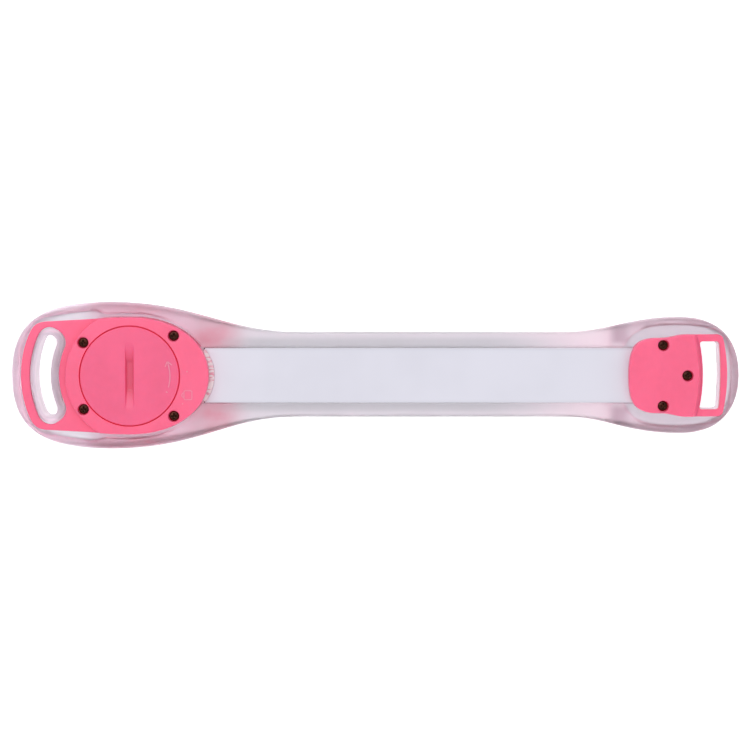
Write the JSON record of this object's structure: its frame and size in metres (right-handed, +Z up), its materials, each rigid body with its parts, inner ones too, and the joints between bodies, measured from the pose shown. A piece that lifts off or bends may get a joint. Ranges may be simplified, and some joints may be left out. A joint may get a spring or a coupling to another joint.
{
  "type": "clip-on led arm band",
  "caption": "Flexible milky band with a clear light strip, a round battery housing at its wide end and a clamp at its narrow end, both slotted for an elastic strap",
  "frame": {"origin": "middle of the band's length and width, on the plane that its lit front face rests on", "axes": "+X along the band towards the narrow end, +Y across the band, +Z up to the arm side with the covers and screws"},
  "size_m": [0.204, 0.0412, 0.0124],
  "materials": {
    "milky_tpu": "soft translucent skin",
    "clear_guide": "clear moulded plastic",
    "white_film": "smooth reflective film",
    "pink_abs": "satin moulded plastic",
    "seal_rubber": "smooth red silicone rubber",
    "cell_steel": "polished nickel-plated steel",
    "contact_metal": "plated spring bronze",
    "screw_steel": "black-nickel plated",
    "board_green": "green solder mask",
    "black_resin": "moulded black resin",
    "white_resin": "white moulded resin",
    "tan_ceramic": "unglazed ceramic"
  },
  "bodies": {
    "band": {"tpu_body": "milky_tpu", "light_guide": "clear_guide", "reflector_film": "white_film", "front_shell": "pink_abs", "rear_cover": "pink_abs", "cell_tray": "black_resin", "positive_contact": "contact_metal", "negative_contact": "contact_metal", "circuit_board": "board_green", "led_upper": "white_resin", "led_lower": "white_resin", "driver_chip": "black_resin", "capacitor": "tan_ceramic", "timing_resistor": "black_resin", "led_resistor": "black_resin", "switch_body": "black_resin", "end_anchor": "pink_abs", "end_cover": "pink_abs", "housing_screw_1": "screw_steel", "housing_screw_2": "screw_steel", "housing_screw_3": "screw_steel", "housing_screw_4": "screw_steel", "end_screw_1": "screw_steel", "end_screw_2": "screw_steel", "end_screw_3": "screw_steel"},
    "seal_ring": {"door_seal": "seal_rubber"},
    "door": {"battery_door": "pink_abs"},
    "cell": {"coin_cell": "cell_steel"},
    "button": {"button_cap": "pink_abs", "switch_plunger": "white_resin"}
  },
  "joints": [
    {"name": "door_lift", "type": "slide", "parent": "band", "child": "seal_ring", "axis": [0, 0, 1], "range_m": [0, 0.014]},
    {"name": "door_turn", "type": "hinge", "parent": "seal_ring", "child": "door", "pos_m": [-0.0686, 0, 0.0116], "axis": [0, 0, 1], "range_deg": [0, 30]},
    {"name": "cell_lift", "type": "slide", "parent": "band", "child": "cell", "axis": [0, 0, 1], "range_m": [0, 0.007]},
    {"name": "button_press", "type": "slide", "parent": "band", "child": "button", "axis": [0, 0, 1], "range_m": [0, 0.0004], "stiffness_N_per_m": 3000, "springref_m": -0.0001}
  ],
  "couplings": [
    {"joint": "cell_lift", "follows": "door_lift", "ratio": 0.5}
  ]
}
